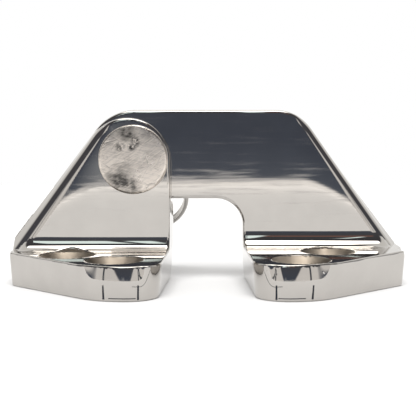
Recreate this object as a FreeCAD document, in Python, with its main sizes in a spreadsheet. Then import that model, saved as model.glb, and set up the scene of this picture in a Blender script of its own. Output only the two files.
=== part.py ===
"""Polished stainless deck hinge with a removable pin: two cast leaves, a headed pin and a split ring.

Frame: origin on the deck plane, straight below the pin axis, in the plane where ear and arm lap.
+X runs from the ear leaf to the arm leaf, +Y to the back of the hinge, +Z up. Millimetres.
"""
import FreeCAD, Part
import math
import os
import Sketcher

DIMS = {
    # pin
    "pin_height": 22.4,
    "pin_radius": 3.175,
    "pin_clearance": 0.06,
    "head_radius": 6.15,
    "head_thickness": 1.6,
    "head_gap": 0.05,
    "head_rim": 0.4,
    "tail_length": 6.3,
    "tail_chamfer": 0.6,
    "cross_setback": 3.2,
    "cross_radius": 1.55,
    # lap joint
    "ear_thickness": 3.7,
    "arm_thickness": 4.8,
    "lap_gap": 0.1,
    "ear_radius_front": 7.5,
    "ear_radius_lap": 8.2,
    "ear_drop_lap": 0.5,
    "knuckle_radius": 9.5,
    "seat_radius": 9.95,
    # feet
    "gap_centre": 13.2,
    "gap_half": 6.5,
    "foot_length": 29.7,
    "foot_depth": 28.3,
    "inner_slant": 0.6,
    "end_slant": 1.1,
    "foot_draft": 0.55,
    "foot_height": 6.7,
    "ear_top_back": 6.4,
    "ear_top_front": 5.4,
    "arm_top_back": 6.7,
    "arm_top_front": 5.65,
    "inner_radius": 5.0,
    "nose_radius": 10.8,
    "front_angle": 44.0,
    # walls and bridge arm
    "wall_root": 5.4,
    "trim_height": 12.0,
    "slope_level": 18.8,
    "ear_reach_back": 28.4,
    "arm_reach_front": 25.65,
    "arm_reach_back": 26.9,
    "angle_front": 56.0,
    "angle_back": 52.7,
    "shoulder_radius": 8.4,
    "top_draft": 0.25,
    "under_height": 15.35,
    "arch_radius": 5.0,
    # rounded edges
    "ear_root_fillet": 2.6,
    "arm_root_fillet": 3.0,
    "edge_fillet": 0.8,
    # screw holes, measured from the gap's middle and from the back
    "screw_radius": 2.65,
    "sink_radius": 4.8,
    "sink_half_angle": 45.0,
    "ear_front_screw_x": 15.2,
    "ear_front_screw_y": 20.2,
    "ear_rear_screw_x": 24.1,
    "ear_rear_screw_y": 14.3,
    "arm_front_screw_x": 15.2,
    "arm_front_screw_y": 21.6,
    "arm_rear_screw_x": 21.2,
    "arm_rear_screw_y": 11.6,
    # split ring
    "ring_radius": 8.9,
    "wire_radius": 0.55,
    "coil_spacing": 1.0,
    "ring_tilt": 40.0,
}

BACK = "($arm_thickness + $lap_gap)"

doc = FreeCAD.newDocument("deck_hinge")
sheet = doc.addObject("Spreadsheet::Sheet", "dims")
for row, (alias, size) in enumerate(DIMS.items(), start=1):
    sheet.set(f"A{row}", alias)
    sheet.set(f"B{row}", str(size))
    sheet.setAlias(f"B{row}", alias)
doc.recompute()


def expr(text):
    """A formula with $alias names, as an expression on the sheet."""
    return text.replace("$", "dims.")


def value(text):
    result = sheet.evalExpression(text.replace("$", ""))
    return float(getattr(result, "Value", result))


def make_body(label):
    body = doc.addObject("PartDesign::Body", label)
    body.Label = label
    return body


def make_sketch(body, name, role, offset=None):
    """Sketch on an origin plane of the body, moved along the plane's normal by a formula."""
    sketch = body.newObject("Sketcher::SketchObject", name)
    plane = next(f for f in body.Origin.OriginFeatures if f.Role == role)
    sketch.AttachmentSupport = [(plane, "")]
    sketch.MapMode = "FlatFace"
    if offset:
        sketch.setExpression("AttachmentOffset.Base.z", expr(offset))
    return sketch


def constrain(sketch, formula, kind, *items):
    """Add one dimension and bind it to its formula."""
    index = sketch.addConstraint(Sketcher.Constraint(kind, *items, value(formula)))
    sketch.setExpression(f"Constraints[{index}]", expr(formula))


def place_vertex(sketch, curve, end, corner):
    """Tie one end of a curve to the sketch's axes."""
    for kind, axis, formula in (("DistanceX", -2, corner[0]), ("DistanceY", -1, corner[1])):
        if formula == "0":
            sketch.addConstraint(Sketcher.Constraint("PointOnObject", curve, end, axis))
        else:
            constrain(sketch, formula, kind, -1, 1, curve, end)


def add_outline(sketch, corners):
    """Closed outline. A corner is (x, y) for a line to the next corner, or (x, y, radius, turn) for an
    arc of under half a turn: +1 anticlockwise, -1 clockwise."""
    first_curve = sketch.GeometryCount
    points = [FreeCAD.Vector(value(c[0]), value(c[1]), 0) for c in corners]
    ends = []
    for i, corner in enumerate(corners):
        a, b = points[i], points[(i + 1) % len(points)]
        if len(corner) == 2:
            sketch.addGeometry(Part.LineSegment(a, b), False)
            ends.append((1, 2))
            continue
        radius, turn = value(corner[2]), corner[3]
        chord = b - a
        side = FreeCAD.Vector(-chord.y, chord.x, 0).normalize() * turn
        reach = math.sqrt(max(radius**2 - (chord.Length / 2) ** 2, 0))
        centre = (a + b) * 0.5 + side * reach
        circle = Part.Circle(centre, FreeCAD.Vector(0, 0, 1), radius)
        angles = [math.atan2(p.y - centre.y, p.x - centre.x) for p in (a, b)]
        sketch.addGeometry(Part.ArcOfCircle(circle, *angles[::turn]), False)
        ends.append((1, 2)[::turn])
    for i, corner in enumerate(corners):
        curve, after = first_curve + i, (i + 1) % len(corners)
        sketch.addConstraint(
            Sketcher.Constraint("Coincident", curve, ends[i][1], first_curve + after, ends[after][0])
        )
    for i, corner in enumerate(corners):
        place_vertex(sketch, first_curve + i, ends[i][0], corner)
        if len(corner) > 2:
            constrain(sketch, corner[2], "Radius", first_curve + i)


def add_circle(sketch, x, y, radius):
    centre = FreeCAD.Vector(value(x), value(y), 0)
    curve = sketch.addGeometry(Part.Circle(centre, FreeCAD.Vector(0, 0, 1), value(radius)), False)
    place_vertex(sketch, curve, 3, (x, y))
    constrain(sketch, radius, "Radius", curve)


def add_loft(body, name, sketches):
    feature = body.newObject("PartDesign::AdditiveLoft", name)
    feature.Profile = sketches[0]
    feature.Sections = sketches[1:]
    feature.Ruled = True
    doc.recompute()


def add_pocket(body, name, sketch, length=None):
    """Cut through all both ways, or upwards from the sketch by a length."""
    cut = body.newObject("PartDesign::Pocket", name)
    cut.Profile = sketch
    if length:
        cut.setExpression("Length", expr(length))
        cut.Reversed = True
    else:
        cut.Type = "ThroughAll"
        cut.Midplane = True
    doc.recompute()


def add_fillet(body, name, wanted, radius):
    """Round the edges of the body's tip whose middle point passes the test."""
    names = []
    for i, edge in enumerate(body.Tip.Shape.Edges, start=1):
        middle = edge.valueAt((edge.FirstParameter + edge.LastParameter) / 2)
        if wanted(edge, middle):
            names.append(f"Edge{i}")
    base = body.Tip
    feature = body.newObject("PartDesign::Fillet", name)
    feature.Base = (base, names)
    feature.setExpression("Radius", expr(radius))
    doc.recompute()


def inner_reach(setback):
    """Distance of a leaf's inner side from the gap's middle, at a distance in front of the back."""
    return f"($gap_half + $inner_slant * ({setback}) / ($foot_depth - $inner_radius))"


def foot_outline(hand, grow):
    """Plan outline of a foot, grown by a formula. The hand is -1 for the ear leaf, +1 for the arm leaf."""
    def across(reach):
        return f"$gap_centre + {hand} * ({reach})"

    shrink = f"($foot_draft - ({grow}))"
    nose_y = f"({BACK} - $foot_depth + {shrink})"
    inner = f"({inner_reach('$foot_depth - $inner_radius')} + {shrink})"
    bend = f"({inner} + $inner_radius)"
    turn_x = f"({bend} + $nose_radius * sin($front_angle * 1 deg))"
    turn_y = f"({nose_y} + $nose_radius * (1 - cos($front_angle * 1 deg)))"
    corner = f"($gap_half + $foot_length - $end_slant - {shrink})"
    corner_y = f"({turn_y} + ({corner} - {turn_x}) * tan($front_angle * 1 deg))"
    return [
        (across(f"{inner_reach('0')} + {shrink}"), BACK),
        (across(inner), f"{nose_y} + $inner_radius", "$inner_radius", hand),
        (across(bend), nose_y, "$nose_radius", hand),
        (across(turn_x), turn_y),
        (across(corner), corner_y),
        (across(f"{corner} + $end_slant"), BACK),
    ]


def add_foot(body, hand):
    """Foot with drafted sides, left higher than its finished top."""
    rough = "($foot_height + 1)"
    sole = make_sketch(body, body.Label + "_sole", "XY_Plane")
    add_outline(sole, foot_outline(hand, "0"))
    top = make_sketch(body, body.Label + "_rough_top", "XY_Plane", rough)
    add_outline(top, foot_outline(hand, f"$foot_draft * {rough} / $foot_height"))
    doc.recompute()
    add_loft(body, body.Label + "_foot", [sole, top])


def foot_fall(leaf):
    """How far a foot's top drops per millimetre towards the front."""
    return f"((${leaf}_top_back - ${leaf}_top_front) / $foot_depth)"


def plane_top(body, leaf):
    """Plane the foot to its top, which slopes gently down to the front."""
    fall, top = foot_fall(leaf), f"${leaf}_top_back"
    sketch = make_sketch(body, body.Label + "_top_slope", "YZ_Plane")
    add_outline(sketch, [
        (f"{BACK} + 2", f"{top} + 2 * {fall}"),
        (f"{BACK} + 2", f"{top} + 4"),
        (f"{BACK} - $foot_depth - 4", f"{top} + 4"),
        (f"{BACK} - $foot_depth - 4", f"${leaf}_top_front - 4 * {fall}"),
    ])
    doc.recompute()
    add_pocket(body, body.Label + "_planing", sketch)


def trim_sides(body, hand):
    """Cut the wall's lower part flush with the foot's inner side and outer end."""
    sketch = make_sketch(body, body.Label + "_trim_outline", "XY_Plane")
    add_outline(sketch, [("-60", "-60"), ("90", "-60"), ("90", "30"), ("-60", "30")])
    outline = foot_outline(hand, "$foot_draft")
    clear = f"{BACK} + 5"
    add_outline(sketch, [(outline[0][0], clear)] + outline[1:-1] + [(outline[-1][0], clear)])
    doc.recompute()
    add_pocket(body, body.Label + "_trim", sketch, "$trim_height")


def slope_x(hand, reach, angle, level):
    """X of a slanted outer edge at a height, from its reach at the slope level."""
    return f"($gap_centre + {hand} * ({reach} + ($slope_level - ({level})) / tan({angle} * 1 deg)))"


def ear_outline(setback, radius, drop, angle):
    """Front view of the ear and the wall below it, at a distance in front of the back."""
    inner = f"($gap_centre - {inner_reach(setback)})"
    centre_z = f"($pin_height - {drop})"
    touch_x = f"({inner} - {radius} - {radius} * sin({angle} * 1 deg))"
    touch_z = f"({centre_z} + {radius} * cos({angle} * 1 deg))"
    foot_x = f"({touch_x} - ({touch_z} - $wall_root) / tan({angle} * 1 deg))"
    return [
        (foot_x, "$wall_root"),
        (inner, "$wall_root"),
        (inner, centre_z, radius, 1),
        (touch_x, touch_z),
    ]


def seat_outline(setback, outer_x):
    """Front view of the full-thickness wall behind the ear, under the other leaf's knuckle."""
    inner = f"($gap_centre - {inner_reach(setback)})"
    seat_z = f"($pin_height - sqrt($seat_radius ^ 2 - {inner} ^ 2))"
    ledge_z = "($pin_height - $seat_radius)"
    return [
        (outer_x("$wall_root"), "$wall_root"),
        (inner, "$wall_root"),
        (inner, seat_z, "$seat_radius", -1),
        ("0", ledge_z),
        (outer_x(ledge_z), ledge_z),
    ]


def arm_outline(setback, draft, reach, angle):
    """Front view of the arm leaf's wall and bridge arm, ending in the knuckle around the pin."""
    inner = f"($gap_centre + {inner_reach(setback)})"
    knuckle = f"($knuckle_radius - {draft})"
    shoulder = f"($shoulder_radius - {draft})"
    top = f"($pin_height + {knuckle})"
    bend_z = f"({top} - {shoulder})"
    bend_x = f"({slope_x(1, reach, angle, bend_z)} - {shoulder} / sin({angle} * 1 deg))"
    under_x = f"sqrt({knuckle} ^ 2 - ($pin_height - $under_height) ^ 2)"
    return [
        (inner, "$wall_root"),
        (slope_x(1, reach, angle, "$wall_root"), "$wall_root"),
        (f"{bend_x} + {shoulder} * sin({angle} * 1 deg)",
         f"{bend_z} + {shoulder} * cos({angle} * 1 deg)", shoulder, 1),
        (bend_x, top),
        ("0", top, knuckle, 1),
        (f"-{knuckle}", "$pin_height", knuckle, 1),
        (under_x, "$under_height"),
        (f"{inner} - $arch_radius", "$under_height", "$arch_radius", -1),
        (inner, "$under_height - $arch_radius"),
    ]


def add_wall(body, name, front_y, front, back_y, back):
    """Loft between a back and a front outline. The XZ plane's normal points to -Y."""
    sketches = []
    for side, level, outline in (("back", back_y, back), ("front", front_y, front)):
        sketch = make_sketch(body, f"{body.Label}_{name}_{side}", "XZ_Plane", f"-({level})")
        add_outline(sketch, outline)
        sketches.append(sketch)
    doc.recompute()
    add_loft(body, f"{body.Label}_{name}", sketches)


def add_bore(body):
    sketch = make_sketch(body, body.Label + "_bore_circle", "XZ_Plane")
    add_circle(sketch, "0", "$pin_height", "$pin_radius + $pin_clearance")
    doc.recompute()
    add_pocket(body, body.Label + "_bore", sketch)


def drill_screw_hole(body, hand, leaf, which):
    """Screw hole with its countersink, open above the foot."""
    setback = f"${leaf}_{which}_screw_y"
    x = f"$gap_centre + {hand} * ${leaf}_{which}_screw_x"
    y = f"{BACK} - {setback}"
    mouth = f"(${leaf}_top_back - {foot_fall(leaf)} * {setback})"
    depth = "(($sink_radius - $screw_radius) / tan($sink_half_angle * 1 deg))"
    cuts = (
        ("shank", "Cylinder", "-1", {"Radius": "$screw_radius", "Height": "$foot_height + 1"}),
        ("sink", "Cone", f"{mouth} - {depth}",
         {"Radius1": "$screw_radius", "Radius2": "$sink_radius", "Height": depth}),
        ("mouth", "Cylinder", mouth, {"Radius": "$sink_radius", "Height": "$arm_root_fillet"}),
    )
    for name, kind, base, sizes in cuts:
        cut = body.newObject(f"PartDesign::Subtractive{kind}", f"{body.Label}_{which}_{name}")
        for prop, formula in sizes.items():
            cut.setExpression(prop, expr(formula))
        for axis, formula in zip("xyz", (x, y, base)):
            cut.setExpression(f"Placement.Base.{axis}", expr(formula))
        doc.recompute()


def is_root(front):
    """Test for the edge where the wall's front face, at Y = front, meets the foot's top."""
    def wanted(edge, middle):
        return abs(middle.y - front) < 0.01 and 5 < middle.z < 7 and edge.Length > 10
    return wanted


def is_front_outline(front):
    """Test for the edges round a wall's front face, above the foot."""
    def wanted(edge, middle):
        flat = all(abs(v.Y - front) < 0.01 for v in edge.Vertexes)
        return flat and middle.z > 9 and not edge.isClosed()
    return wanted


def make_ear_leaf():
    body = make_body("ear_leaf")
    front = -DIMS["ear_thickness"]
    add_foot(body, -1)
    plane_top(body, "ear")
    ear_setback = f"({BACK} + $ear_thickness)"
    lap = ear_outline(BACK, "$ear_radius_lap", "$ear_drop_lap", "$angle_back")
    add_wall(
        body, "ear",
        "-$ear_thickness", ear_outline(ear_setback, "$ear_radius_front", "0", "$angle_front"),
        "0", lap,
    )
    add_fillet(body, "ear_edge", is_front_outline(front), "$edge_fillet")

    def lap_x(level):
        return f"({lap[3][0]} - ({lap[3][1]} - ({level})) / tan($angle_back * 1 deg))"

    def back_x(level):
        return slope_x(-1, "$ear_reach_back", "$angle_back", level)

    add_wall(body, "seat", "0", seat_outline(BACK, lap_x), BACK, seat_outline("0", back_x))
    trim_sides(body, -1)
    add_fillet(body, "ear_root", is_root(front), "$ear_root_fillet")
    add_bore(body)
    for which in ("front", "rear"):
        drill_screw_hole(body, -1, "ear", which)


def make_arm_leaf():
    body = make_body("arm_leaf")
    add_foot(body, 1)
    plane_top(body, "arm")
    add_wall(
        body, "arm",
        "$lap_gap", arm_outline("$arm_thickness", "$top_draft", "$arm_reach_front", "$angle_front"),
        BACK, arm_outline("0", "0", "$arm_reach_back", "$angle_back"),
    )
    trim_sides(body, 1)
    add_fillet(body, "arm_root", is_root(DIMS["lap_gap"]), "$arm_root_fillet")
    add_bore(body)
    for which in ("front", "rear"):
        drill_screw_hole(body, 1, "arm", which)
    add_fillet(body, "arm_edge", is_front_outline(DIMS["lap_gap"]), "$edge_fillet")


def make_hinge_pin():
    """Headed pin turned from bar, with a cross hole near its tail."""
    body = make_body("hinge_pin")
    sketch = make_sketch(body, "pin_half_section", "XY_Plane", "$pin_height")
    head_back = "(-$ear_thickness - $head_gap)"
    tail = f"({BACK} + $tail_length)"
    add_outline(sketch, [
        ("0", f"{head_back} - $head_thickness"),
        ("$head_radius - $head_rim", f"{head_back} - $head_thickness", "$head_rim", 1),
        ("$head_radius", f"{head_back} - $head_thickness + $head_rim"),
        ("$head_radius", head_back),
        ("$pin_radius", head_back),
        ("$pin_radius", f"{tail} - $tail_chamfer"),
        ("$pin_radius - $tail_chamfer", tail),
        ("0", tail),
    ])
    doc.recompute()
    turned = body.newObject("PartDesign::Revolution", "pin_turned")
    turned.Profile = sketch
    turned.ReferenceAxis = (sketch, ["V_Axis"])
    turned.Angle = 360
    doc.recompute()
    circle = make_sketch(body, "cross_hole_circle", "YZ_Plane")
    add_circle(circle, f"{BACK} + $cross_setback", "$pin_height", "$cross_radius")
    doc.recompute()
    add_pocket(body, "cross_hole", circle)


def make_split_ring():
    """Two touching coils of wire, hanging from the pin's cross hole."""
    coils = []
    for side in (-1, 1):
        coil = doc.addObject("Part::Torus", f"ring_coil_{len(coils) + 1}")
        coil.setExpression("Radius1", expr("$ring_radius"))
        coil.setExpression("Radius2", expr("$wire_radius"))
        coil.setExpression("Placement.Base.z", expr(f"{side} * $coil_spacing / 2"))
        coils.append(coil)
    ring = doc.addObject("Part::Fuse", "split_ring")
    ring.Label = "split_ring"
    ring.Base, ring.Tool = coils
    ring.Placement = FreeCAD.Placement(FreeCAD.Vector(), FreeCAD.Rotation(FreeCAD.Vector(1, 0, 0), -50))
    ring.setExpression("Placement.Rotation.Angle", expr("($ring_tilt - 90) * 1 deg"))
    hole_y = f"({BACK} + $cross_setback)"
    ring.setExpression("Placement.Base.y", expr(f"{hole_y} + $ring_radius * sin($ring_tilt * 1 deg)"))
    ring.setExpression(
        "Placement.Base.z", expr("$pin_height - $ring_radius * cos($ring_tilt * 1 deg)")
    )
    doc.recompute()


def export_nodes(labels):
    os.makedirs("parts", exist_ok=True)
    for item in doc.Objects:
        if {"Invalid", "Error"} & set(item.State):
            raise RuntimeError(f"{item.Name} did not build: {item.State}")
    for label in labels:
        shape = doc.getObject(label).Shape
        if shape.isNull() or not shape.isValid() or len(shape.Solids) != 1:
            raise RuntimeError(f"{label} is not one valid solid")
        shape.exportStep(f"parts/{label}.step")
        box = shape.BoundBox
        print(f"{label}: {shape.Volume:.1f} mm3, X {box.XMin:.2f}..{box.XMax:.2f}, "
              f"Y {box.YMin:.2f}..{box.YMax:.2f}, Z {box.ZMin:.2f}..{box.ZMax:.2f}")


make_ear_leaf()
make_arm_leaf()
make_hinge_pin()
make_split_ring()
export_nodes(["ear_leaf", "arm_leaf", "hinge_pin", "split_ring"])
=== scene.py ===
"""Polished stainless deck hinge: refined leaves, turned pin, wound split ring, plain studio."""
import math
import bpy
import numpy as np
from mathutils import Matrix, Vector


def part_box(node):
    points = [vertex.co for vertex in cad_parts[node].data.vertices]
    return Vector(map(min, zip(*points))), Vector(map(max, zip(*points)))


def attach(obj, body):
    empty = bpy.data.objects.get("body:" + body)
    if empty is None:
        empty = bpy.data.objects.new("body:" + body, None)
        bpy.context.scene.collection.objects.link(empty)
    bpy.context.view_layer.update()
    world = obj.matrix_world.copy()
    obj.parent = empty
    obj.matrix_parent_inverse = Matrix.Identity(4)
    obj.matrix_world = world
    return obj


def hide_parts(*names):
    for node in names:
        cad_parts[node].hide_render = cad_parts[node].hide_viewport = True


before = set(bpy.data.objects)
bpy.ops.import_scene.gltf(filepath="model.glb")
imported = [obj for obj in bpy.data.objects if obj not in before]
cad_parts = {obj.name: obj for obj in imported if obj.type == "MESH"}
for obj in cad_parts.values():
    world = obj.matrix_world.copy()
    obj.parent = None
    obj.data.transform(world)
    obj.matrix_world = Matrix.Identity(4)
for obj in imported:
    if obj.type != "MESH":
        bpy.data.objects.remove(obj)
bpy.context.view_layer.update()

MM = 0.001

# ---------------------------------------------------------------- sizes, in mm: x right, y back, z up
PIN_Z = 22.4
PIN_R, BORE_R, SEAT_R = 3.175, 3.235, 9.95
HEAD_R, HEAD_T, HEAD_BACK = 6.15, 1.6, -3.75
TAIL_Y, CROSS_Y, CROSS_R = 11.2, 8.1, 1.55
BACK, EAR_FRONT, ARM_FRONT = 4.9, -3.7, 0.1
GAP_X = 13.2
GAP_HALF, SLANT = 6.5, 0.6
FOOT_LEN, FOOT_DEPTH, END_SLANT, DRAFT = 29.7, 28.3, 1.1, 0.55
INNER_R, NOSE_R, NOSE_TURN = 5.0, 10.8, math.radians(44)
FOOT_H = 6.7
SLOPE_Z = 18.8
STEEP, SHALLOW = math.radians(56), math.radians(52.7)
SCREW_R, SINK_R = 2.65, 4.8
CROWN, CROWN_Z = 0.036, 1.1
EDGE_R, SLANT_R, BACK_R, END_R = 0.6, 1.5, 0.35, 0.3
FOOT_R, FOOT_END_R, FOOT_CORNER_R, SOLE_R = 0.25, 1.3, 1.4, 0.3
SLANT_BOW, SLANT_REACH = 0.1, 7.0
DEEP, SUNK = -4.0, 1.0
RING_R, WIRE_R, COIL_GAP, RING_TILT = 8.9, 0.55, 1.0, math.radians(40)


# ---------------------------------------------------------------- outlines
def trace(corners):
    """Lines and arcs of a closed outline, plus a fine polygon for telling inside from outside.
    A corner is (x, y) for a line, or (x, y, radius, turn) for an arc of under half a turn."""
    lines, arcs, ring = [], [], []
    for i, corner in enumerate(corners):
        a = np.array(corner[:2], float)
        b = np.array(corners[(i + 1) % len(corners)][:2], float)
        if len(corner) == 2:
            lines.append((a, b))
            ring.append(a)
            continue
        radius, turn = corner[2], corner[3]
        chord = b - a
        side = np.array([-chord[1], chord[0]]) / np.hypot(*chord) * turn
        centre = (a + b) / 2 + side * math.sqrt(max(radius**2 - chord @ chord / 4, 0))
        start = math.atan2(*(a - centre)[::-1])
        sweep = (math.atan2(*(b - centre)[::-1]) - start) * turn % (2 * math.pi) * turn
        arcs.append((centre, radius, start + sweep / 2, abs(sweep) / 2))
        for t in np.linspace(0, sweep, 40, endpoint=False):
            ring.append(centre + radius * np.array([math.cos(start + t), math.sin(start + t)]))
    return lines, arcs, np.array(ring)


def outline_distance(shape, x, y):
    """Signed distance to a traced outline, negative inside, and the outward direction."""
    lines, arcs, ring = shape
    best = np.full(x.shape, 1e9)
    near_x, near_y = np.zeros_like(x), np.zeros_like(x)

    def keep(qx, qy):
        nonlocal best
        gap = np.hypot(x - qx, y - qy)
        closer = gap < best
        best = np.where(closer, gap, best)
        near_x[closer], near_y[closer] = qx[closer], qy[closer]

    for a, b in lines:
        d = b - a
        t = np.clip(((x - a[0]) * d[0] + (y - a[1]) * d[1]) / (d @ d), 0, 1)
        keep(a[0] + t * d[0], a[1] + t * d[1])
    for centre, radius, middle, half in arcs:
        angle = np.arctan2(y - centre[1], x - centre[0]) - middle
        angle = np.clip((angle + math.pi) % (2 * math.pi) - math.pi, -half, half) + middle
        keep(centre[0] + radius * np.cos(angle), centre[1] + radius * np.sin(angle))
    inside = np.zeros(x.shape, bool)
    for a, b in zip(ring, np.roll(ring, -1, axis=0)):
        if a[1] != b[1]:
            crosses = (a[1] > y) != (b[1] > y)
            inside ^= crosses & (x < a[0] + (y - a[1]) * (b[0] - a[0]) / (b[1] - a[1]))
    sign = np.where(inside, -1.0, 1.0)
    scale = sign / np.maximum(best, 1e-9)
    return best * sign, (x - near_x) * scale, (y - near_y) * scale


def inner_reach(setback):
    """From the gap's middle to a leaf's inner side, at a distance in front of the leaf's back."""
    return GAP_HALF + SLANT * setback / (FOOT_DEPTH - INNER_R)


def foot_corners(hand):
    """Plan of a foot's sole, carried past its back."""
    past = 6.0
    nose_y = BACK - FOOT_DEPTH + DRAFT
    inner = inner_reach(FOOT_DEPTH - INNER_R) + DRAFT
    bend = inner + INNER_R
    turn_x = bend + NOSE_R * math.sin(NOSE_TURN)
    turn_y = nose_y + NOSE_R * (1 - math.cos(NOSE_TURN))
    corner = GAP_HALF + FOOT_LEN - END_SLANT - DRAFT
    corner_y = turn_y + (corner - turn_x) * math.tan(NOSE_TURN)
    slope_in = SLANT / (FOOT_DEPTH - INNER_R)
    slope_out = END_SLANT / (BACK - corner_y)
    lean = math.atan(slope_out)
    cut = FOOT_CORNER_R * math.tan((math.pi / 2 - NOSE_TURN - lean) / 2)
    rows = [
        (inner_reach(0) + DRAFT - past * slope_in, BACK + past),
        (inner, nose_y + INNER_R, INNER_R, hand),
        (bend, nose_y, NOSE_R, hand),
        (turn_x, turn_y),
        (corner - cut * math.cos(NOSE_TURN), corner_y - cut * math.sin(NOSE_TURN), FOOT_CORNER_R, hand),
        (corner + cut * math.sin(lean), corner_y + cut * math.cos(lean)),
        (corner + END_SLANT + past * slope_out, BACK + past),
    ]
    return [(GAP_X + hand * r[0], *r[1:]) for r in rows]


def slope_x(hand, reach, angle, level):
    """X of a leaf's outer slope at a level. The outlines of the walls are carried down to DEEP."""
    return GAP_X + hand * (reach + (SLOPE_Z - level) / math.tan(angle))


def ear_corners(setback, radius, drop, angle):
    """The ear in front view: round about the pin, with a slope outside."""
    inner = GAP_X - inner_reach(setback)
    centre_z = PIN_Z - drop
    touch = (inner - radius - radius * math.sin(angle), centre_z + radius * math.cos(angle))
    return [
        (touch[0] - (touch[1] - DEEP) / math.tan(angle), DEEP),
        (inner, DEEP),
        (inner, centre_z, radius, 1),
        touch,
    ]


def seat_corners(setback, foot_x, ledge_x):
    """The seat behind the ear in front view, hollowed for the other leaf's knuckle."""
    inner = GAP_X - inner_reach(setback)
    return [
        (foot_x, DEEP),
        (inner, DEEP),
        (inner, PIN_Z - math.sqrt(SEAT_R**2 - inner**2), SEAT_R, -1),
        (0, PIN_Z - SEAT_R),
        (ledge_x, PIN_Z - SEAT_R),
    ]


def arm_corners(setback, draft, reach, angle):
    """The arm's wall and bridge in front view, ending in its knuckle about the pin."""
    inner = GAP_X + inner_reach(setback)
    knuckle, shoulder, under, arch = 9.5 - draft, 8.4 - draft, 15.35, 5.0
    top = PIN_Z + knuckle
    bend_z = top - shoulder
    bend_x = slope_x(1, reach, angle, bend_z) - shoulder / math.sin(angle)
    return [
        (inner, DEEP),
        (slope_x(1, reach, angle, DEEP), DEEP),
        (bend_x + shoulder * math.sin(angle), bend_z + shoulder * math.cos(angle), shoulder, 1),
        (bend_x, top),
        (0, top, knuckle, 1),
        (-knuckle, PIN_Z, knuckle, 1),
        (math.sqrt(knuckle**2 - (PIN_Z - under) ** 2), under),
        (inner - arch, under, arch, -1),
        (inner, under - arch),
    ]


# ---------------------------------------------------------------- solids as distance fields
def trim(a, b, radius):
    """Intersection of two fields with a rounded edge."""
    corner = np.hypot(np.maximum(a + radius, 0), np.maximum(b + radius, 0))
    return np.minimum(np.maximum(a, b), -radius) + corner


def facing_share(direction, way, spread, full=1.0):
    """1 where an outline faces along a direction, falling smoothly to 0 away from it. It is 1 while
    the cosine of the angle is at least full, and 0 once the cosine is lower by spread."""
    cosine = direction[0] * way[0] + direction[1] * way[1]
    t = np.clip((cosine - full + spread) / spread, 0, 1)
    return t * t * (3 - 2 * t)


def slab(lateral, y, front, back, front_r, back_r):
    """Plate between a front and a back level with rounded edges."""
    return trim(trim(lateral, front - y, front_r), y - back, back_r)


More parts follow.
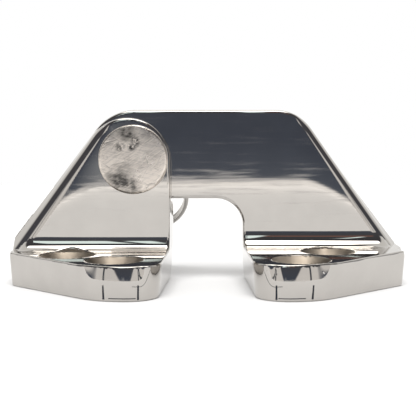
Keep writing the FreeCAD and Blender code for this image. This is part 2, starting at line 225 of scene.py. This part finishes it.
class Leaf:
    """A cast leaf: foot, wall, the fillet between them, and its holes."""

    def __init__(self, hand, wall_front, root_r, tops, screws, plates):
        self.hand, self.wall_front, self.root_r = hand, wall_front, root_r
        self.top_back, self.fall = tops[0], (tops[0] - tops[1]) / FOOT_DEPTH
        self.screws = [(GAP_X + hand * x, BACK - y) for x, y in screws]
        self.plates, self.slant = plates, (hand * math.sin(STEEP), math.cos(STEEP))
        self.foot = trace(foot_corners(hand))
        corners = foot_corners(hand)
        self.end = np.array(corners[5][:2]), np.array(corners[6][:2])
        self.shapes = [(trace(p["front"]), trace(p["back"])) for p in plates]

    def top(self, y):
        return self.top_back - self.fall * (BACK - y)

    def combine(self, x, y, z, foot, walls):
        """Distance to the whole leaf. foot and walls hold the distances to its outlines."""
        end_a, end_b = self.end
        along = (end_b - end_a) / np.hypot(*(end_b - end_a))
        past_end = self.hand * ((x - end_a[0]) * along[1] - (y - end_a[1]) * along[0]) - DRAFT
        growth = DRAFT * z / FOOT_H
        nose = facing_share(foot[1:], (0, -1), 0.2, full=0.9)
        end = facing_share(foot[1:], (self.hand, 0), 0.25) * np.clip((self.wall_front - 1 - y) / 3, 0, 1)
        side = foot[0] - growth + CROWN * np.maximum(z - CROWN_Z, 0) ** 2 * nose
        body = trim(side, z - self.top(y), FOOT_R + (FOOT_END_R - FOOT_R) * end)
        body = trim(trim(body, -z, SOLE_R), y - BACK, BACK_R)
        foot_limit = np.maximum(self.top(y) - SUNK - z, np.where(z < self.top(y), foot[0] - growth, -9.0))
        wall = None
        for plate, (front, back) in zip(self.plates, walls):
            y0, y1 = plate["span"]
            t = (y - y0) / (y1 - y0)
            lateral = front[0] * (1 - t) + back[0] * t
            edge_r, bow = 0.1, 0.0
            if plate["soft"]:
                share = facing_share(front[1:], self.slant, 0.14)
                edge_r = EDGE_R + (SLANT_R - EDGE_R) * share
                bow = SLANT_BOW * share * np.clip(1 + front[0] / SLANT_REACH, 0, 1) ** 3
            piece = slab(lateral, y, y0 + bow - plate["lap"], y1, edge_r, BACK_R)
            piece = np.maximum(trim(piece, past_end, END_R), foot_limit)
            wall = piece if wall is None else np.minimum(wall, piece)
            if plate["soft"]:
                yc = self.wall_front - self.root_r + bow
                zc = self.top(yc) + self.root_r
                hollow = self.root_r - np.hypot(y - yc, z - zc)
                root = np.maximum(np.maximum(hollow, yc - y), z - zc)
                root = trim(trim(root, front[0], edge_r), past_end, END_R)
                root = trim(root, y - min(y1 + 1.0, BACK), BACK_R)
                root = np.maximum(root, foot_limit)
        solid = np.minimum(np.minimum(body, wall), root)
        solid = trim(solid, BORE_R - np.hypot(x, z - PIN_Z), 0.2)
        for sx, sy in self.screws:
            rho = np.hypot(x - sx, y - sy)
            mouth = self.top(np.array(sy))
            cone = (rho - SINK_R - (z - mouth)) / math.sqrt(2)
            sink = np.maximum(np.maximum(rho - SINK_R, cone), z - mouth - 3.0)
            solid = trim(solid, -np.minimum(rho - SCREW_R, sink), 0.16)
        return solid

    def at(self, p):
        x, y, z = p.T
        foot = outline_distance(self.foot, x, y)
        walls = [[outline_distance(s, x, z) for s in pair] for pair in self.shapes]
        return self.combine(x, y, z, foot, walls)

    def on_grid(self, xs, ys, zs):
        gx, gy = np.meshgrid(xs, ys, indexing="ij")
        foot = tuple(f[:, :, None] for f in outline_distance(self.foot, gx, gy))
        gx, gz = np.meshgrid(xs, zs, indexing="ij")
        walls = [[tuple(f[:, None, :] for f in outline_distance(s, gx, gz)) for s in pair]
                 for pair in self.shapes]
        return self.combine(xs[:, None, None], ys[None, :, None], zs[None, None, :], foot, walls)


class Pin:
    """Headed pin with a cross hole, its head's face slightly crowned."""

    def at(self, p):
        x, y, z = p.T
        return self.combine(x, y, z)

    def on_grid(self, xs, ys, zs):
        return self.combine(xs[:, None, None], ys[None, :, None], zs[None, None, :])

    def combine(self, x, y, z):
        rho = np.hypot(x, z - PIN_Z)
        face = HEAD_BACK - HEAD_T + 0.12 * (rho / HEAD_R) ** 4
        head = trim(trim(rho - HEAD_R, face - y, 0.45), y - HEAD_BACK, 0.2)
        shank = trim(trim(rho - PIN_R, y - TAIL_Y, 0.5), HEAD_BACK - 0.3 - y, 0.05)
        solid = np.minimum(head, shank)
        return trim(solid, CROSS_R - np.hypot(y - CROSS_Y, z - PIN_Z), 0.18)


def surface_net(field, lo, hi, step):
    """Quad mesh on the zero level of a field, with exact normals."""
    axes = [np.arange(a - 2 * step, b + 3 * step, step) + 0.013 for a, b in zip(lo, hi)]
    values = field.on_grid(*axes)
    inside = values < 0
    n = np.array(values.shape) - 1
    corners = [(i, j, k) for i in (0, 1) for j in (0, 1) for k in (0, 1)]

    def at_corner(a, c):
        return a[c[0]:c[0] + n[0], c[1]:c[1] + n[1], c[2]:c[2] + n[2]]

    count = sum(at_corner(inside, c).astype(np.int8) for c in corners)
    active = (count > 0) & (count < 8)
    cells = np.argwhere(active)
    index = np.full(active.shape, -1)
    index[active] = np.arange(len(cells))
    total, hits = np.zeros((len(cells), 3)), np.zeros(len(cells))
    for a in corners:
        for axis in range(3):
            if a[axis]:
                continue
            b = tuple(v + (m == axis) for m, v in enumerate(a))
            va, vb = at_corner(values, a)[active], at_corner(values, b)[active]
            cut = (va < 0) != (vb < 0)
            place = np.tile(np.array(a, float), (len(cells), 1))
            place[:, axis] += np.where(cut, va / np.where(cut, va - vb, 1), 0)
            total += place * cut[:, None]
            hits += cut
    start = np.array([a[0] for a in axes])
    points = start + (cells + total / hits[:, None]) * step
    quads = []
    for axis in range(3):
        u, v = (axis + 1) % 3, (axis + 2) % 3
        first = np.take(inside, range(n[axis]), axis=axis)
        second = np.take(inside, range(1, n[axis] + 1), axis=axis)
        for flip, change in ((False, first & ~second), (True, second & ~first)):
            at = np.argwhere(change)
            at = at[(at[:, u] > 0) & (at[:, v] > 0) & (at[:, u] < n[u]) & (at[:, v] < n[v])]
            around = []
            for du, dv in ((1, 1), (0, 1), (0, 0), (1, 0)):
                cell = at.copy()
                cell[:, u] -= du
                cell[:, v] -= dv
                around.append(index[tuple(cell.T)])
            quad = np.stack(around, axis=1)
            quads.append(quad[:, ::-1] if flip else quad)
    faces = np.concatenate(quads)

    def gradient(p):
        h = 0.012
        g = np.stack([field.at(p + d) - field.at(p - d) for d in np.eye(3) * h], axis=1)
        return g / (2 * h)

    for _ in range(2):
        g = gradient(points)
        size = np.maximum((g * g).sum(1), 0.2)
        move = -(field.at(points) / size)[:, None] * g
        points += np.clip(move, -step / 2, step / 2)
    g = gradient(points)
    return points, faces, g / np.linalg.norm(g, axis=1, keepdims=True)


def make_mesh(name, points, faces, normals=None):
    mesh = bpy.data.meshes.new(name)
    mesh.from_pydata((points * MM).tolist(), [], faces.tolist())
    mesh.validate()
    mesh.shade_smooth()
    if normals is not None:
        mesh.normals_split_custom_set_from_vertices(normals.tolist())
    obj = bpy.data.objects.new(name, mesh)
    bpy.context.scene.collection.objects.link(obj)
    return obj


def keep_inside(points, node):
    """Hold every point within the CAD node's own box."""
    lo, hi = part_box(node)
    return np.clip(points, np.array(lo) / MM, np.array(hi) / MM)


# ---------------------------------------------------------------- materials
def node_material(name):
    """A material, its node tree and its shader."""
    material = bpy.data.materials.new(name)
    material.use_nodes = True
    tree = material.node_tree
    return material, tree, tree.nodes["Principled BSDF"]


def add_node(tree, kind, inputs=(), **props):
    node = tree.nodes.new(kind)
    for key, value in props.items():
        setattr(node, key, value)
    for key, value in dict(inputs).items():
        if isinstance(value, bpy.types.NodeSocket):
            tree.links.new(value, node.inputs[key])
        else:
            node.inputs[key].default_value = value
    return node


def object_noise(tree, scale, stretch=(1, 1, 1), detail=3.0, offset=0.0):
    """Noise over the object's own coordinates, in metres, stretched along its axes."""
    place = add_node(tree, "ShaderNodeTexCoord").outputs["Object"]
    mapping = add_node(tree, "ShaderNodeMapping", {
        "Vector": place, "Location": (offset, offset * 0.7, offset * 1.3), "Scale": stretch})
    noise = add_node(tree, "ShaderNodeTexNoise", {
        "Vector": mapping.outputs["Vector"], "Scale": scale, "Detail": detail})
    return noise.outputs["Fac"]


def remap(tree, value, low, high, to_low, to_high):
    node = add_node(tree, "ShaderNodeMapRange", {
        "Value": value, "From Min": low, "From Max": high, "To Min": to_low, "To Max": to_high})
    return node.outputs["Result"]


def combine_values(tree, how, a, b):
    node = add_node(tree, "ShaderNodeMath", {0: a, 1: b}, operation=how)
    return node.outputs["Value"]


def mix_colour(tree, factor, a, b):
    node = add_node(tree, "ShaderNodeMix", {}, data_type="RGBA")
    for socket, value in zip((node.inputs[0], node.inputs[6], node.inputs[7]), (factor, a, b)):
        if isinstance(value, bpy.types.NodeSocket):
            tree.links.new(value, socket)
        else:
            socket.default_value = value
    return node.outputs[2]


def ramp(tree, value, stops):
    node = add_node(tree, "ShaderNodeValToRGB", {"Fac": value})
    while len(node.color_ramp.elements) < len(stops):
        node.color_ramp.elements.new(1.0)
    for element, (place, colour) in zip(node.color_ramp.elements, stops):
        element.position = place
        element.color = (*colour, 1)
    return node.outputs["Color"]


def steel(name, tint, rough, brush, waviness, streaks=0.03):
    """Polished or satin stainless: tone drift, fine brushing along X, smears and a soft waviness."""
    material, tree, shader = node_material(name)
    dark = tuple(c * 0.94 for c in tint)
    tone = ramp(tree, object_noise(tree, 260, detail=4), [(0.3, dark), (0.7, tint)])
    tree.links.new(tone, shader.inputs["Base Color"])
    shader.inputs["Metallic"].default_value = 1.0
    lines = object_noise(tree, 3200, (0.04, 1.0, 1.0), detail=3, offset=0.11)
    strokes = object_noise(tree, 1500, (0.07, 1.0, 1.0), detail=5, offset=0.53)
    smears = object_noise(tree, 180, detail=5, offset=0.37)
    roughness = combine_values(
        tree, "ADD",
        remap(tree, smears, 0.35, 0.75, rough * 0.75, rough * 1.35),
        remap(tree, strokes, 0.48, 0.72, 0.0, streaks),
    )
    tree.links.new(roughness, shader.inputs["Roughness"])
    fine = add_node(tree, "ShaderNodeBump", {"Height": lines, "Strength": 1.0, "Distance": 1e-6 * brush})
    wave = add_node(tree, "ShaderNodeBump", {
        "Height": object_noise(tree, 110, detail=1.5, offset=0.8),
        "Strength": 1.0, "Distance": 1e-5 * waviness, "Normal": fine.outputs["Normal"]})
    tree.links.new(wave.outputs["Normal"], shader.inputs["Normal"])
    return material


def turned_streaks(tree, angle, scale, low, high, offset):
    """Thin straight marks running at an angle across the object's XZ face."""
    place = add_node(tree, "ShaderNodeTexCoord").outputs["Object"]
    turned = add_node(tree, "ShaderNodeMapping", {
        "Vector": place, "Location": (0.1 * offset, 0, 0.2 * offset),
        "Rotation": (0, math.radians(angle), 0)})
    flat = add_node(tree, "ShaderNodeMapping", {
        "Vector": turned.outputs["Vector"], "Scale": (0.08, 1.0, 1.0)})
    noise = add_node(tree, "ShaderNodeTexNoise", {
        "Vector": flat.outputs["Vector"], "Scale": scale, "Detail": 2.0}).outputs["Fac"]
    return remap(tree, noise, low, high, 0.0, 1.0)


def spots(tree, places):
    """Soft-edged stains at (x, z, radius) in mm on the object's XZ face, broken up by noise."""
    place = add_node(tree, "ShaderNodeMapping", {
        "Vector": add_node(tree, "ShaderNodeTexCoord").outputs["Object"], "Scale": (1, 0, 1)})
    grain = remap(tree, object_noise(tree, 900, detail=5, offset=0.6), 0.3, 0.6, 0.45, 1.1)
    total = None
    for x, z, radius in places:
        away = add_node(tree, "ShaderNodeVectorMath", {
            0: place.outputs["Vector"], 1: (x * MM, 0, z * MM)}, operation="DISTANCE").outputs["Value"]
        stain = remap(tree, away, radius * 0.4 * MM, radius * 1.25 * MM, 1.0, 0.0)
        total = stain if total is None else combine_values(tree, "MAXIMUM", total, stain)
    return combine_values(tree, "MULTIPLY", total, grain)


def worn_face(material, stains, pits, depth):
    """Adds criss-cross scratches, stains and pitted patches to a steel."""
    tree = material.node_tree
    shader = tree.nodes["Principled BSDF"]
    deep = None
    for k, angle in enumerate((15, -28, 62, 100, -70, 38)):
        line = turned_streaks(tree, angle, 2500.0 + 500 * k, 0.64, 0.72, k)
        deep = line if deep is None else combine_values(tree, "MAXIMUM", deep, line)
    haze = combine_values(
        tree, "ADD",
        turned_streaks(tree, 35, 5200.0, 0.3, 0.7, 7),
        turned_streaks(tree, -12, 4600.0, 0.3, 0.7, 9))
    pitted = combine_values(
        tree, "MULTIPLY", spots(tree, pits),
        remap(tree, object_noise(tree, 2300, detail=3), 0.35, 0.52, 0.0, 1.0))
    smudge = combine_values(
        tree, "ADD", combine_values(tree, "MULTIPLY", spots(tree, stains), 0.85),
        remap(tree, object_noise(tree, 240, detail=4, offset=1.7), 0.5, 0.75, 0.0, 0.3))
    shade = combine_values(tree, "MAXIMUM", smudge, combine_values(tree, "MULTIPLY", deep, 0.35))
    shade = combine_values(tree, "MAXIMUM", shade, pitted)
    shade = combine_values(tree, "ADD", shade, remap(tree, haze, 0.6, 1.4, -0.1, 0.17))
    old = shader.inputs["Base Color"].links[0].from_socket
    worn = mix_colour(tree, shade, old, (0.1, 0.095, 0.09, 1))
    tree.links.new(worn, shader.inputs["Base Color"])
    relief = combine_values(tree, "ADD", deep, combine_values(tree, "MULTIPLY", pitted, 2.0))
    bump = add_node(tree, "ShaderNodeBump", {
        "Height": combine_values(tree, "MULTIPLY", relief, -1.0), "Strength": 1.0, "Distance": depth,
        "Normal": shader.inputs["Normal"].links[0].from_socket})
    tree.links.new(bump.outputs["Normal"], shader.inputs["Normal"])
    return material


polished = steel("polished_steel", (0.52, 0.497, 0.469), 0.028, 0.3, 0.5, 0.085)
machined = steel("machined_steel", (0.36, 0.308, 0.25), 0.48, 4.0, 0.5)
pin_metal = worn_face(
    steel("satin_pin_steel", (0.93, 0.85, 0.765), 0.33, 2.5, 3.0),
    stains=[(-2.0, PIN_Z - 3.5, 2.6), (-1.0, PIN_Z + 4.7, 1.7), (-0.3, PIN_Z - 5.0, 1.8)],
    pits=[(0.45, PIN_Z + 3.2, 1.1), (-2.2, PIN_Z + 2.3, 0.9), (-0.1, PIN_Z + 2.2, 0.8)], depth=9e-6)
wire_metal = steel("spring_wire_steel", (0.56, 0.54, 0.51), 0.16, 0.5, 0.2)

# ---------------------------------------------------------------- leaves
ledge_z = PIN_Z - SEAT_R
ear_back = ear_corners(BACK, 8.2, 0.5, SHALLOW)
lap_touch = ear_back[3]


def lap_x(level):
    """X of the ear's outer slope where its thin plate meets the seat behind it."""
    return lap_touch[0] - (lap_touch[1] - level) / math.tan(SHALLOW)


def ear_back_x(level):
    """X of the same slope at the leaf's back."""
    return slope_x(-1, 28.4, SHALLOW, level)


# A plate has an outline at its front and at its back, joined by straight lines along Y. A soft plate
# has a rounded front edge and a fillet at its root.
ear = Leaf(
    hand=-1, wall_front=EAR_FRONT, root_r=2.6, tops=(6.4, 5.4),
    screws=[(15.2, 20.2), (24.1, 14.3)],
    plates=[
        {"front": ear_corners(BACK - EAR_FRONT, 7.5, 0, STEEP), "back": ear_back,
         "span": (EAR_FRONT, 0.0), "lap": 0.0, "soft": True},
        {"front": seat_corners(BACK, lap_x(DEEP), lap_x(ledge_z)),
         "back": seat_corners(0, ear_back_x(DEEP), ear_back_x(ledge_z)),
         "span": (0.0, BACK), "lap": 0.25, "soft": False},
    ],
)
arm = Leaf(
    hand=1, wall_front=ARM_FRONT, root_r=3.0, tops=(6.7, 5.65),
    screws=[(15.2, 21.6), (21.2, 11.6)],
    plates=[
        {"front": arm_corners(BACK - ARM_FRONT, 0.25, 25.65, STEEP),
         "back": arm_corners(0, 0, 26.9, SHALLOW),
         "span": (ARM_FRONT, BACK), "lap": 0.0, "soft": True},
    ],
)


def build_leaf(name, node, leaf, body):
    lo, hi = (np.array(c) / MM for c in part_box(node))
    points, faces, normals = surface_net(leaf, lo, hi, 0.28)
    points = keep_inside(points, node)
    obj = make_mesh(name, points, faces, normals)
    obj.data.materials.append(polished)
    obj.data.materials.append(machined)
    middle = points[faces].mean(axis=1)
    facing = normals[faces].mean(axis=1)
    cut = np.zeros(len(faces), bool)
    for sx, sy in leaf.screws:
        rho = np.hypot(middle[:, 0] - sx, middle[:, 1] - sy)
        inward = (middle[:, 0] - sx) * facing[:, 0] + (middle[:, 1] - sy) * facing[:, 1] < -0.5 * rho
        cut |= (rho < SINK_R + 0.05) & inward
    bore = np.hypot(middle[:, 0], middle[:, 2] - PIN_Z) < BORE_R + 0.06
    obj.data.polygons.foreach_set("material_index", (cut | bore).astype(np.int32))
    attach(obj, body)
    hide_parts(node)


build_leaf("ear_leaf_cast", "ear_leaf", ear, "ear")
build_leaf("arm_leaf_cast", "arm_leaf", arm, "arm")

# ---------------------------------------------------------------- pin
lo, hi = (np.array(c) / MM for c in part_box("hinge_pin"))
points, faces, normals = surface_net(Pin(), lo, hi, 0.17)
pin = make_mesh("hinge_pin_turned", keep_inside(points, "hinge_pin"), faces, normals)
pin.data.materials.append(pin_metal)
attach(pin, "pin")
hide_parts("hinge_pin")


# ---------------------------------------------------------------- split ring
def wound_ring():
    """Two turns of round wire that cross over once, with free ends beside the crossing."""
    centre = np.array([0, CROSS_Y + RING_R * math.sin(RING_TILT), PIN_Z - RING_R * math.cos(RING_TILT)])
    out = np.array([0, -math.sin(RING_TILT), math.cos(RING_TILT)])
    side = np.array([1.0, 0, 0])
    axle = np.cross(side, out)
    gap, cross = math.radians(5), math.radians(26)
    angles = np.linspace(gap + cross, 4 * math.pi - gap - cross, 560)
    turn = (angles - 2 * math.pi) / cross
    offset = COIL_GAP / 2 * np.sin(np.clip(turn, -1, 1) * math.pi / 2)
    seam = math.radians(205)
    radial = [math.cos(a + seam) * out + math.sin(a + seam) * side for a in angles]
    path = np.array([centre + RING_R * r + o * axle for r, o in zip(radial, offset)])
    ahead = np.gradient(path, axis=0)
    ahead /= np.linalg.norm(ahead, axis=1, keepdims=True)
    sides = 18
    points, faces = [], []
    wire = WIRE_R - 0.03
    rings = [(0, 0.0)] + [(row, 1.0) for row in range(len(path))] + [(len(path) - 1, 0.0)]
    for row, scale in rings:
        normal = np.array(radial[row])
        normal -= normal @ ahead[row] * ahead[row]
        normal /= np.linalg.norm(normal)
        other = np.cross(ahead[row], normal)
        for j in range(sides):
            a = 2 * math.pi * j / sides
            points.append(path[row] + wire * scale * (math.cos(a) * normal + math.sin(a) * other))
    for k in range(len(rings) - 1):
        for j in range(sides):
            a, b = k * sides + j, k * sides + (j + 1) % sides
            faces.append((a, b, b + sides, a + sides))
    return np.array(points), np.array(faces)


points, faces = wound_ring()
ring = make_mesh("split_ring_wound", keep_inside(points, "split_ring"), faces)
ring.data.materials.append(wire_metal)
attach(ring, "ring")
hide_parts("split_ring")


# ---------------------------------------------------------------- studio
def sheet_mesh(name, corners):
    mesh = bpy.data.meshes.new(name)
    mesh.from_pydata(corners, [], [tuple(range(len(corners)))])
    obj = bpy.data.objects.new(name, mesh)
    bpy.context.scene.collection.objects.link(obj)
    return obj


floor = sheet_mesh("floor", [(-3, -3, 0), (3, -3, 0), (3, 3, 0), (-3, 3, 0)])
# Painted shade: the floor's colour is darker within 0.4 m of the middle and grows paler out to 2.2 m. This
# stands in for the shade around the hinge on a real table, and the steel's reflections show the fall-off.
floor_painted_shade, tree, shader = node_material("pale_floor_painted_shade")
spread = add_node(tree, "ShaderNodeVectorMath", {
    0: add_node(tree, "ShaderNodeTexCoord").outputs["Object"]}, operation="LENGTH").outputs["Value"]
tree.links.new(
    ramp(tree, remap(tree, spread, 0.4, 2.2, 0, 1), [
        (0.0, (0.68, 0.675, 0.67)), (0.4, (0.76, 0.75, 0.74)), (1.0, (0.95, 0.93, 0.91))]),
    shader.inputs["Base Color"])
shader.inputs["Roughness"].default_value = 0.9
shader.inputs["Specular IOR Level"].default_value = 0.0
floor.data.materials.append(floor_painted_shade)

seam_material, tree, shader = node_material("tent_seam")
tree.links.new(
    ramp(tree, object_noise(tree, 300), [(0.3, (0.03, 0.034, 0.045)), (0.7, (0.06, 0.065, 0.08))]),
    shader.inputs["Base Color"])
shader.inputs["Roughness"].default_value = 1.0
shader.inputs["Specular IOR Level"].default_value = 0.0


def seam_line(name, spine, widths):
    """A dark seam of the light tent, lying on the floor: only reflections show it."""
    spine = [Vector(p) for p in spine]
    left, right = [], []
    for k, (point, width) in enumerate(zip(spine, widths)):
        ahead = (spine[min(k + 1, len(spine) - 1)] - spine[max(k - 1, 0)]).normalized()
        across = Vector((-ahead.y, ahead.x)) * width / 2
        left.append(point + across)
        right.append(point - across)
    outline = [(p.x * MM, p.y * MM, 0.00005) for p in left + right[::-1]]
    obj = sheet_mesh(name, outline)
    obj.data.materials.append(seam_material)
    obj.visible_camera = obj.visible_diffuse = obj.visible_shadow = False


# Seams run out from each nose, and a hem curves round in front of it. A seam is (x, direction x,
# direction y, half of its widening in degrees).
SEAMS = {
    -1: [(-2.74, -0.696, -0.722, 1.3), (2.55, 0.664, -0.749, 2.9)],
    1: [(23.9, -0.647, -0.763, 2.9), (29.5, 0.747, -0.664, 1.3)],
}
HEM_GAP, HEM_WIDTH = 1.45, 0.45
nose_y = BACK - FOOT_DEPTH + DRAFT
nose_x = GAP_X - inner_reach(FOOT_DEPTH - INNER_R) - DRAFT - INNER_R
hem = []
for angle in range(-16, 24, 3):
    radius, a = (NOSE_R if angle < 0 else INNER_R), math.radians(angle)
    reach = radius + HEM_GAP
    hem.append((nose_x + reach * math.sin(a), nose_y + radius - reach * math.cos(a)))
for hand, seams in SEAMS.items():
    spine = [(x, y) if hand < 0 else (2 * GAP_X - x, y) for x, y in hem]
    seam_line(f"tent_hem_{hand}", spine, [HEM_WIDTH] * len(spine))
    for k, (x, dx, dy, widening) in enumerate(seams):
        reaches = (0.4, 24.0)
        seam_line(
            f"tent_seam_{hand}_{k}", [(x + dx * r, nose_y + 0.5 + dy * r) for r in reaches],
            [0.35 + 2 * r * math.tan(math.radians(widening)) for r in reaches])


def between(tree, value, low, high, soft):
    """1 while a value lies between two limits, with soft ends."""
    rising = remap(tree, value, low - soft, low + soft, 0, 1)
    falling = remap(tree, value, high - soft, high + soft, 1, 0)
    return combine_values(tree, "MULTIPLY", rising, falling)


def studio_world():
    """White to the eye and to matt surfaces. Gloss sees the light tent: a dark opening in front with
    a window, low light walls and seams at the sides, a softbox overhead and a white sweep behind."""
    world = bpy.data.worlds.new("studio")
    bpy.context.scene.world = world
    world.use_nodes = True
    tree = world.node_tree
    way = add_node(tree, "ShaderNodeTexCoord").outputs["Generated"]
    axis = add_node(tree, "ShaderNodeSeparateXYZ", {"Vector": way}).outputs
    rise = combine_values(tree, "MULTIPLY", combine_values(tree, "ARCSINE", axis["Z"], 0.0), 180 / math.pi)
    front = combine_values(tree, "MULTIPLY", axis["Y"], -1.0)
    turn = combine_values(
        tree, "MULTIPLY", combine_values(tree, "ARCTAN2", axis["X"], front), 180 / math.pi)
    room = ramp(tree, remap(tree, rise, 0, 90, 0, 1), [
        (0.0, (1.5, 1.46, 1.42)), (0.0008, (1.4, 1.36, 1.32)), (0.0035, (0.13, 0.148, 0.187)),
        (0.04, (0.09, 0.104, 0.138)), (0.3, (0.099, 0.099, 0.11)), (0.74, (0.066, 0.066, 0.072)),
        (0.8, (6.2, 6.1, 5.95)), (1.0, (6.2, 6.1, 5.95))])
    side = combine_values(tree, "ABSOLUTE", turn, 0.0)
    opening = combine_values(tree, "SUBTRACT", side, combine_values(tree, "MULTIPLY", rise, 0.8))
    low_side = combine_values(
        tree, "MULTIPLY", remap(tree, opening, 13, 16, 0, 1), remap(tree, rise, 17, 21, 1, 0))
    low_side = combine_values(tree, "MULTIPLY", low_side, remap(tree, side, 57, 63, 1, 0))
    colour = mix_colour(tree, low_side, room, (1.0, 0.975, 0.95, 1))
    # Patches, in degrees: left, right, low and high limits, then the colour and the edge's softness.
    window = (1.4, 1.62, 1.62)
    patches = [
        (5, 19, 33.5, 37, (0.5, 0.22, 0.15), 0.4), (-22, -9.6, 31, 52, window, 0.3),
        (-7.9, -5.3, 31, 52, window, 0.3), (3.6, 5.6, 31, 52, window, 0.3),
        (16.8, 18.4, 40, 52, window, 0.3), (-11, -6, -1, 4, (0.33, 0.35, 0.38), 1.8),
        (-45, -42, -2, 25, (0.07, 0.08, 0.1), 0.5), (42, 45, -2, 25, (0.07, 0.08, 0.1), 0.5)]
    for left, right, low, high, tone, soft in patches:
        inside = combine_values(
            tree, "MULTIPLY", between(tree, turn, left, right, soft), between(tree, rise, low, high, soft))
        colour = mix_colour(tree, inside, colour, (*tone, 1))
    behind = remap(tree, side, 95, 112, 0, 1)
    colour = mix_colour(tree, behind, colour, (0.98, 0.97, 0.95, 1))
    rays = add_node(tree, "ShaderNodeLightPath").outputs
    matt = mix_colour(tree, rays["Is Diffuse Ray"], (1, 1, 1, 1), (0.88, 0.88, 0.88, 1))
    colour = mix_colour(tree, rays["Is Glossy Ray"], matt, colour)
    tree.links.new(colour, tree.nodes["Background"].inputs["Color"])


studio_world()

sun = bpy.data.objects.new("key_light", bpy.data.lights.new("key_light", "SUN"))
bpy.context.scene.collection.objects.link(sun)
sun.data.energy = 3.2
sun.data.angle = math.radians(40)
sun.rotation_euler = (math.radians(32), 0, 0)
sun.visible_glossy = False

scene = bpy.context.scene
scene.view_settings.view_transform = "Standard"

camera = bpy.data.objects.new("camera", bpy.data.cameras.new("camera"))
scene.collection.objects.link(camera)
camera.data.sensor_width = 36
camera.data.lens = 60.577
camera.location = (0.01334, -0.1293, 0.0184)
camera.rotation_euler = (math.radians(90 - 2.13), 0, 0)
camera.data.clip_start, camera.data.clip_end = 0.005, 20
scene.camera = camera
